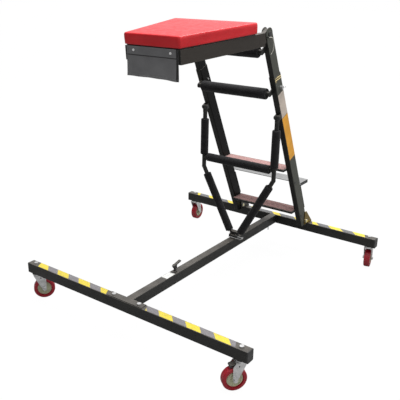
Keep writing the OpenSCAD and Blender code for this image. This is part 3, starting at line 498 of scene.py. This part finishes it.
def hazard(name, rows, period, middle_y, grey):
    """Tape with yellow stripes at 45 degrees, with grime and scratches. middle_y is its middle line."""
    m = Nodes(name)
    x, y = m.split(m.place)[:2]
    along = m.math("ADD", x, m.math("SUBTRACT", y, middle_y))
    tape = m.mix(stripes(m, along, rows, period), grey, TAPE_YELLOW)
    grimy = m.patches(45, start=0.55, full=0.8, high=0.4, detail=7)
    scratched = m.patches(70, start=0.62, full=0.7, high=0.35, detail=3, stretch=(1, 6, 1))
    m.colour(m.mix(scratched, m.mix(grimy, tape, GRIME), SCRATCH))
    m.rough(90, low=0.34, high=0.6, detail=5)
    m.bump(m.noise(300), 0.1 * MM)
    return m.material


def striped(name, first, second):
    """Printed band with thin stripes across a rail, rubbed in places."""
    m = Nodes(name)
    y, z = m.split(m.place)[1:]
    turn = m.math("DIVIDE", m.math("SUBTRACT", z, m.math("MULTIPLY", y, BAND_SLOPE)), BAND_PERIOD)
    stripe = m.math("LESS_THAN", m.math("FRACT", turn), BAND_SHARE)
    rubbed = m.patches(90, start=0.5, full=0.7, high=0.5, detail=5)
    m.colour(m.mix(rubbed, m.mix(stripe, first, second), scaled(second, 1.6)))
    m.rough(60, low=0.35, high=0.55)
    m.bump(m.noise(400, detail=3), 0.05 * MM)
    return m.material


def grit(name, colour):
    """Anti-slip sheet: coarse mineral grains in a worn binder."""
    m = Nodes(name)
    grains = m.cells(420)
    worn = m.patches(12, start=0.4, full=0.7, detail=6)
    base = m.mix(worn, colour, scaled(colour, 1.35))
    m.colour(m.mix(m.ramp(grains, start=0.25, full=0.6), base, scaled(colour, 0.55)))
    m.rough(60, low=0.75, high=0.95)
    m.bump(grains, 0.7 * MM, strength=0.7)
    return m.material


BLACK = powder("frame_black", (0.015, 0.015, 0.0138))
# Rails and arms: painted highlight on their outer faces, painted shade on their inner faces
RAIL = powder("rail_black", (0.02, 0.02, 0.0185), (0.075, 0.077, 0.066), (0.002, 0.002, 0.002), shine=0.15)
ARM = powder("arm_black", (0.015, 0.015, 0.0138), (0.032, 0.026, 0.021), (0.009, 0.009, 0.009))
DARK = powder("bolt_dark", (0.028, 0.028, 0.029), rough=0.34)
CAP = plastic("cap_black", (0.02, 0.02, 0.02), 0.5)
ZINC = metal("zinc", (0.8, 0.8, 0.8), 0.34)
SNAP = plastic("snap_plated", (0.85, 0.85, 0.84), 0.3)
GUSSET = gusset("gusset", (0.26, 0.18, 0.04), (0.015, 0.015, 0.014))
STEP = two_tone("step_grey", (0.24, 0.24, 0.24), (0.03, 0.03, 0.03), 0.38)
MAT = grit("tread_mat", (0.46, 0.26, 0.245))
FOAM = foam("foam", (0.007, 0.0065, 0.0075))
RED = vinyl("red_vinyl", (0.66, 0.014, 0.022), (0.54, 0.01, 0.016))
GREY = vinyl("grey_vinyl", (0.19, 0.19, 0.195), (0.125, 0.125, 0.13), rough=0.42, crease=12.0)
# Black vinyl for the strips that paint the shade of the flap's fold line and of its curled right edge
SHADE_STRIP = vinyl("shade_strip_vinyl", (0.02, 0.02, 0.021), (0.014, 0.014, 0.014), rough=0.42, crease=12.0)
BOARD = plastic("board_black", (0.015, 0.013, 0.012), 0.6)
PALE = plastic("panel_pale", (0.5, 0.43, 0.37), 0.4, grain=60, depth=0.1 * MM)
AMBER = plastic("panel_amber", (0.72, 0.33, 0.02), 0.4)
WHITE = plastic("panel_white", (0.8, 0.8, 0.77), 0.4)
WHEEL = plastic("wheel_red", (0.29, 0.005, 0.015), 0.33, grain=300, depth=0.2 * MM)
HUB = plastic("hub_cream", (0.4, 0.4, 0.27), 0.4)
WIRE = plastic("cord_wire", (0.55, 0.53, 0.47), 0.35)
BAND = striped("band_gold", (0.85, 0.68, 0.32), (0.012, 0.01, 0.008))
# The same tape is on both beams. The rear one's grey is set darker than the front one's, as a painted shade
FRONT_TAPE = hazard("front_tape", FRONT_STRIPES, FRONT_PERIOD, SHIFT - BEAM_MID, (0.19, 0.18, 0.19))
REAR_TAPE = hazard("rear_tape", REAR_STRIPES, REAR_PERIOD, SHIFT + BEAM_MID, (0.12, 0.12, 0.125))

NODE_FINISHES = (
    (BLACK, ("rear_beam", "front_beam", "centre_beam", "front_stub", "tee_plate", "apex_bracket", "mid_bar",
             "top_bar", "brace_frame", "upper_tread", "lower_tread")),
    (RAIL, ("outer_rails", "inner_rails")),
    (ARM, ("platform_frame",)),
    (CAP, ("rear_caps", "front_caps")),
    (DARK, ("latch_base", "latch_lever", "rail_bolts", "brace_brackets", "head_bolts")),
    (ZINC, ("foot_bolts", "rear_fasteners", "front_fasteners", "height_pin_right", "height_pin_left", "apex_pin")),
    (SNAP, ("snaps",)),
    (GUSSET, ("foot_brackets",)),
    (STEP, ("rear_step",)),
    (MAT, ("tread_mats",)),
    (PALE, ("pale_panels",)),
    (AMBER, ("amber_panels",)),
    (BAND, ("rail_bands",)),
    (WHITE, ("centre_panel",)),
    (BOARD, ("board",)),
    (FRONT_TAPE, ("front_tape",)),
    (REAR_TAPE, ("rear_tape",)),
)
CASTER_FINISHES = ((ZINC, "fork_"), (HUB, "hub_"), (WHEEL, "tread_"), (DARK, "pedal_"))
CORNERS = ("front_right", "front_left", "rear_right", "rear_left")


def dress(material, node):
    """Gives a carried-over CAD node its material."""
    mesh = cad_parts[node].data
    mesh.materials.clear()
    mesh.materials.append(material)


def dress_frame():
    for material, nodes in NODE_FINISHES:
        for node in nodes:
            dress(material, node)
    for corner in CORNERS:
        for material, part in CASTER_FINISHES:
            dress(material, part + corner)


# Mesh helpers

def place_piece(name, data, body):
    piece = bpy.data.objects.new(name, data)
    bpy.context.scene.collection.objects.link(piece)
    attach(piece, body)
    return piece


def new_piece(name, verts, faces, body, material):
    """Smooth piece from its points and faces, with every normal turned outwards."""
    mesh = bpy.data.meshes.new(name)
    mesh.from_pydata([tuple(v) for v in verts], [], faces)
    shell = bmesh.new()
    shell.from_mesh(mesh)
    bmesh.ops.recalc_face_normals(shell, faces=shell.faces)
    shell.to_mesh(mesh)
    shell.free()
    for polygon in mesh.polygons:
        polygon.use_smooth = True
    mesh.materials.append(material)
    return place_piece(name, mesh, body)


def loop_faces(count, first, second):
    """Faces between two rings of count points each, from the numbers of their first points."""
    return [(first + k, first + (k + 1) % count, second + (k + 1) % count, second + k) for k in range(count)]


def tube(name, points, radius, body, material):
    """Round cord through the points, as a curve of one open spline."""
    curve = bpy.data.curves.new(name, "CURVE")
    curve.dimensions = "3D"
    curve.bevel_depth = radius
    curve.bevel_resolution = 4
    curve.use_fill_caps = True
    line = curve.splines.new("POLY")
    line.points.add(len(points) - 1)
    for point, place in zip(line.points, points):
        point.co = (*place, 1)
    curve.materials.append(material)
    return place_piece(name, curve, body)


def vinyl_sheet(name, cols, rows, spot, material, thick):
    """Thin sheet on the platform whose middle surface is spot(across, down), both from 0 to 1."""
    verts = [spot(i / cols, j / rows) for j in range(rows + 1) for i in range(cols + 1)]
    faces = [(j * (cols + 1) + i, j * (cols + 1) + i + 1, (j + 1) * (cols + 1) + i + 1, (j + 1) * (cols + 1) + i)
             for j in range(rows) for i in range(cols)]
    piece = new_piece(name, verts, faces, "platform", material)
    skin = piece.modifiers.new("thickness", "SOLIDIFY")
    skin.thickness = thick
    skin.offset = 0.0
    return piece


# Lanyards

def make_lanyards():
    for side, word in ((1, "right"), (-1, "left")):
        points = [ladder_point(side * (CLIP[0] + x * MM), CLIP[1] + across * MM, CLIP[2] + up * MM)
                  for x, across, up in LANYARD_POINTS]
        piece = tube("lanyard_" + word, points, LANYARD_R, "mast", WIRE)
        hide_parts("lanyards")


# Foam sleeves

def sleeve_profile(radius, bore):
    """Half the length of a sleeve's section, from its bore round one end to the middle: share of the length,
    offset in metres, radius."""
    turns = [pi / 2 * k / SLEEVE_ROUND_STEPS for k in range(SLEEVE_ROUND_STEPS, -1, -1)]
    end = [(0, SLEEVE_ROUND - SLEEVE_ROUND * sin(turn), radius - SLEEVE_ROUND + SLEEVE_ROUND * cos(turn))
           for turn in turns]
    return [(0, SLEEVE_DIMPLE, bore)] + end


def sleeve(name, node, a, b, radius, bore, body):
    """Foam grip from a to b: a thick tube with soft rounded ends, standing for a node's solid."""
    near = sleeve_profile(radius, bore)
    along = [(k / SLEEVE_RINGS, 0, radius) for k in range(1, SLEEVE_RINGS)]
    far = [(1, -offset, r) for _, offset, r in reversed(near)]
    profile = near + along + far
    length = (b - a).length
    turn = (b - a).to_track_quat("Z", "Y").to_matrix()
    verts = []
    for share, offset, r in profile:
        for k in range(SLEEVE_AROUND):
            angle = 2 * pi * k / SLEEVE_AROUND
            spot = Vector((cos(angle), sin(angle), share * length * SLEEVE_RIPPLE_RATE)) + a * SLEEVE_RIPPLE_SEED
            grow = r * (1 + SLEEVE_RIPPLE * noise.noise(spot))
            verts.append(a + turn @ Vector((grow * cos(angle), grow * sin(angle), share * length + offset)))
    faces = []
    for i in range(len(profile)):
        faces += loop_faces(SLEEVE_AROUND, i * SLEEVE_AROUND, (i + 1) % len(profile) * SLEEVE_AROUND)
    piece = new_piece(name, verts, faces, body, FOAM)
    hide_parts(node)


def bar_sleeve(node, body):
    """Sleeve on one of the ladder's bars, as long and as thick as its node."""
    low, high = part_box(node)
    y, z = middle(node)[1:]
    sleeve(node + "_soft", node, Vector((low[0], y, z)), Vector((high[0], y, z)), (high[2] - low[2]) / 2, BAR_R, body)


def brace_sleeves():
    for side, word in ((1, "right"), (-1, "left")):
        for (top, bottom), part in ((UPPER_FOAM_Z, "upper"), (LOWER_FOAM_Z, "lower")):
            sleeve(f"leg_foam_{part}_{word}", "brace_foams", leg_point(side, top), leg_point(side, bottom),
                   LEG_FOAM_R, LEG_R, "brace")
    cross = leg_point(1, CROSS_Z)
    sleeve("bar_foam", "brace_foams", Vector((-CROSS_FOAM_X, cross.y, cross.z)),
           Vector((CROSS_FOAM_X, cross.y, cross.z)), CROSS_FOAM_R, LEG_R, "brace")


# Cushion

def side_points(a, b, pull):
    """Points between two corners, drawn towards the middle by pull at the most."""
    out = []
    for k in range(1, PAD_PER_SIDE):
        share = k / PAD_PER_SIDE
        p = a.lerp(b, share)
        inward = (PAD_CENTRE - p).normalized()
        out.append(p + inward * pull * 4 * share * (1 - share))
    return out


def pad_outline(inset, pull=0.0):
    """Rounded trapezoid, drawn in by inset, with its sides pulled in between the corners."""
    slope = atan((PAD_REAR_HALF - PAD_FRONT_HALF) / PAD_LENGTH)
    lean = degrees(slope)
    slack = PAD_CORNER / cos(slope)
    rear, front = PAD_REAR_HALF - slack, PAD_FRONT_HALF - slack
    rear_y, front_y = -PAD_CORNER, -PAD_LENGTH + PAD_CORNER
    corners = [(rear, rear_y, 90, -lean), (front, front_y, -lean, -90), (-front, front_y, 270, 180 + lean),
               (-rear, rear_y, 180 + lean, 90)]
    r = max(PAD_CORNER - inset, PAD_LEAST_CORNER)
    points = []
    for cx, cy, first, last in corners:
        arc = []
        for k in range(PAD_PER_CORNER):
            angle = radians(first + (last - first) * k / (PAD_PER_CORNER - 1))
            arc.append(Vector((cx + r * cos(angle), cy + r * sin(angle))))
        if points:
            points += side_points(points[-1], arc[0], pull)
        points += arc
    return points + side_points(points[-1], points[0], pull)


def side_rings():
    """Rings of the tucked underside and the sides, from the bottom up."""
    return [[(p.x, p.y, (share - 1) * PAD_THICK) for p in pad_outline(inset, pull)]
            for share, inset, pull in PAD_PROFILE]


def top_rings():
    """Rings of the top, which shrink from the rim to the middle and rise to the crown."""
    share, inset, _ = PAD_PROFILE[-1]
    rim = pad_outline(inset)
    top = share * PAD_THICK - PAD_THICK
    rings = []
    for k in range(1, PAD_TOP_RINGS):
        size = 1 - k / PAD_TOP_RINGS
        z = top + (PAD_CROWN - top) * (1 - size ** CROWN_POWER)
        rings.append([(p.x * size, PAD_CENTRE.y + (p.y - PAD_CENTRE.y) * size, z) for p in rim])
    return rings


def vinyl_point(x, y, z, ring, spot):
    """Point of the cushion's vinyl: on the sides it puckers and has a pleat at each corner, on top it sags."""
    pucker = PUCKER_DEPTH * noise.noise(Vector((x * PUCKER_RATE, y * PUCKER_RATE, PUCKER_SEED + z * PUCKER_RATE_UP)))
    out = 0.0
    if ring >= len(PAD_PROFILE):
        edge = max(abs(x) / PAD_REAR_HALF, abs(y - PAD_CENTRE.y) * 2 / PAD_LENGTH)
        sag = SAG_DEPTH * noise.noise(Vector((x * SAG_RATE, y * SAG_RATE, SAG_SEED)))
        z += sag * (1 - edge ** 6) + edge ** 3 * pucker
    elif ring >= PAD_TUCKED_RINGS:
        pleat = spot % (PAD_PER_SIDE - 1 + PAD_PER_CORNER) == PAD_PER_CORNER // 2
        out = pucker - (PLEAT_DEPTH if pleat else 0.0)
    away = Vector((x, y - PAD_CENTRE.y, 0)).normalized()
    return platform_point(x + away.x * out, y + away.y * out, z)


def make_cushion():
    rings = side_rings() + top_rings()
    count = len(rings[0])
    verts = [vinyl_point(x, y, z, index, spot) for index, ring in enumerate(rings)
             for spot, (x, y, z) in enumerate(ring)]
    verts.append(platform_point(0, PAD_CENTRE.y, PAD_CROWN))
    faces = []
    for i in range(len(rings) - 1):
        faces += loop_faces(count, i * count, (i + 1) * count)
    faces.append(tuple(range(count))[::-1])
    last = (len(rings) - 1) * count
    faces += [(last + k, last + (k + 1) % count, len(verts) - 1) for k in range(count)]
    cushion = new_piece("cushion_soft", verts, faces, "platform", RED)
    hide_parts("cushion")


# Flap

def flap_point(across, drop, off=0.0):
    """Point of the flap's middle surface, across from -1 to 1 and drop down from its top edge; off in front of it."""
    down = drop / FLAP_HEIGHT
    below = max(0.0, (drop - FOLD_DROP) / (FLAP_HEIGHT - FOLD_DROP))
    bow = FLAP_BOW * (FLAP_MIDDLE_BOW + (1 - FLAP_MIDDLE_BOW) * across * across)
    bow += FLAP_WAVE * (1 + sin(FLAP_WAVES * pi * across))
    y = ARM_FRONT - FLAP_OFF - bow * down * down
    y -= FOLD_RIDGE * max(0.0, 1 - abs(drop - FOLD_DROP) / FOLD_REACH)
    spot = Vector((across * RIPPLE_RATE[0], down * RIPPLE_RATE[1], RIPPLE_SEED))
    y += RIPPLE_DEPTH * below * noise.noise(spot)
    y += CURL_DEPTH * below * max(0.0, (across - 1 + CURL_SHARE) / CURL_SHARE) ** 2
    sag = CORNER_SAG * below * max(0.0, across) ** 2
    return platform_point(across * FLAP_WIDTH / 2, y - off, ARM_TOP + FLAP_UP - drop - sag)


def make_flap():
    """Vinyl sheet hung from the front tube: a stiff head, a fold line under a strip of painted shade, then a bowed
    skirt with grey hem strips at its left and bottom and a strip of painted shade on its curled right edge.
    """
    flap = vinyl_sheet("flap_sheet", FLAP_COLS, FLAP_ROWS,
                       lambda a, b: flap_point(2 * a - 1, b * FLAP_HEIGHT), GREY, FLAP_THICK)
    share = 2 * HEM_WIDTH / FLAP_WIDTH
    strips = (
        # The right strip and the fold strip are black: painted shade of the curl and of the fold
        ("flap_curl_shade_right", HEM_ROWS, FLAP_ROWS, SHADE_STRIP,
         lambda a, b: flap_point(1 - share * a, FLAP_HEIGHT * b, HEM_OFF)),
        ("flap_hem_left", HEM_ROWS, FLAP_ROWS, GREY,
         lambda a, b: flap_point(-1 + share * a, FLAP_HEIGHT * b, HEM_OFF)),
        ("flap_hem_low", FLAP_COLS, HEM_ROWS, GREY,
         lambda a, b: flap_point(2 * a - 1, FLAP_HEIGHT - HEM_WIDTH * b, HEM_OFF)),
        ("flap_fold_shade", FLAP_COLS, HEM_ROWS, SHADE_STRIP,
         lambda a, b: flap_point(2 * a - 1, FOLD_DROP + FOLD_WIDTH * b, HEM_OFF)),
    )
    hem_and_shade_strips = [vinyl_sheet(name, cols, rows, spot, material, HEM_THICK) for name, cols, rows, material, spot in strips]
    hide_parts("flap")


# Stage

def make_floor():
    """Grey floor that the camera sees as white."""
    mesh = bpy.data.meshes.new("floor")
    corners = [(-FLOOR_HALF, -FLOOR_HALF, 0), (FLOOR_HALF, -FLOOR_HALF, 0), (FLOOR_HALF, FLOOR_HALF, 0),
               (-FLOOR_HALF, FLOOR_HALF, 0)]
    mesh.from_pydata(corners, [], [(0, 1, 2, 3)])
    floor = bpy.data.objects.new("floor", mesh)
    floor.location.z = FLOOR_Z
    bpy.context.scene.collection.objects.link(floor)
    m = Nodes("floor_paint", Base_Color=FLOOR_GREY, Roughness=FLOOR_ROUGH)
    path = m.node("LightPath")
    glow = m.node("Emission")
    glow.inputs["Color"].default_value = WHITE_LIGHT
    glow.inputs["Strength"].default_value = FLOOR_GLOW
    mixer = m.node("MixShader")
    m.link(m.math("MULTIPLY", path.outputs["Is Camera Ray"], FLOOR_GLOW_SHARE), mixer.inputs["Fac"])
    m.link(m.shader.outputs["BSDF"], mixer.inputs[1])
    m.link(glow.outputs["Emission"], mixer.inputs[2])
    m.link(mixer.outputs["Shader"], m.tree.nodes["Material Output"].inputs["Surface"])
    mesh.materials.append(m.material)


def make_sky():
    """White sky whose light is strongest from SKY_AIM; the camera sees it as white all over."""
    world = bpy.data.worlds.new("studio")
    bpy.context.scene.world = world
    world.use_nodes = True
    nodes, links = world.node_tree.nodes, world.node_tree.links
    sky = nodes["Background"]
    sky.inputs["Color"].default_value = WHITE_LIGHT
    place = nodes.new("ShaderNodeTexCoord")
    facing = nodes.new("ShaderNodeVectorMath")
    facing.operation = "DOT_PRODUCT"
    facing.inputs[1].default_value = Vector(SKY_AIM).normalized()
    links.new(place.outputs["Generated"], facing.inputs[0])
    spread = nodes.new("ShaderNodeMapRange")
    for key, value in zip(("From Min", "From Max", "To Min", "To Max"), SKY_RANGE + SKY_STRENGTH):
        spread.inputs[key].default_value = value
    links.new(facing.outputs["Value"], spread.inputs["Value"])
    path = nodes.new("ShaderNodeLightPath")
    level = nodes.new("ShaderNodeMath")
    level.operation = "MAXIMUM"
    links.new(spread.outputs["Result"], level.inputs[0])
    links.new(path.outputs["Is Camera Ray"], level.inputs[1])
    links.new(level.outputs["Value"], sky.inputs["Strength"])


def make_lamps():
    for name, place, size, power, aim in LAMPS:
        light = bpy.data.lights.new(name, "AREA")
        light.size = size
        light.energy = power
        lamp = bpy.data.objects.new(name, light)
        lamp.location = place
        lamp.rotation_euler = (Vector(place) - Vector(aim)).to_track_quat("Z", "Y").to_euler()
        bpy.context.scene.collection.objects.link(lamp)


make_camera()
make_lanyards()
dress_frame()
bar_sleeve("mid_foam", "ladder")
bar_sleeve("top_foam", "mast")
brace_sleeves()
make_cushion()
make_flap()
make_floor()
make_sky()
make_lamps()
bpy.context.scene.view_settings.view_transform = "Standard"
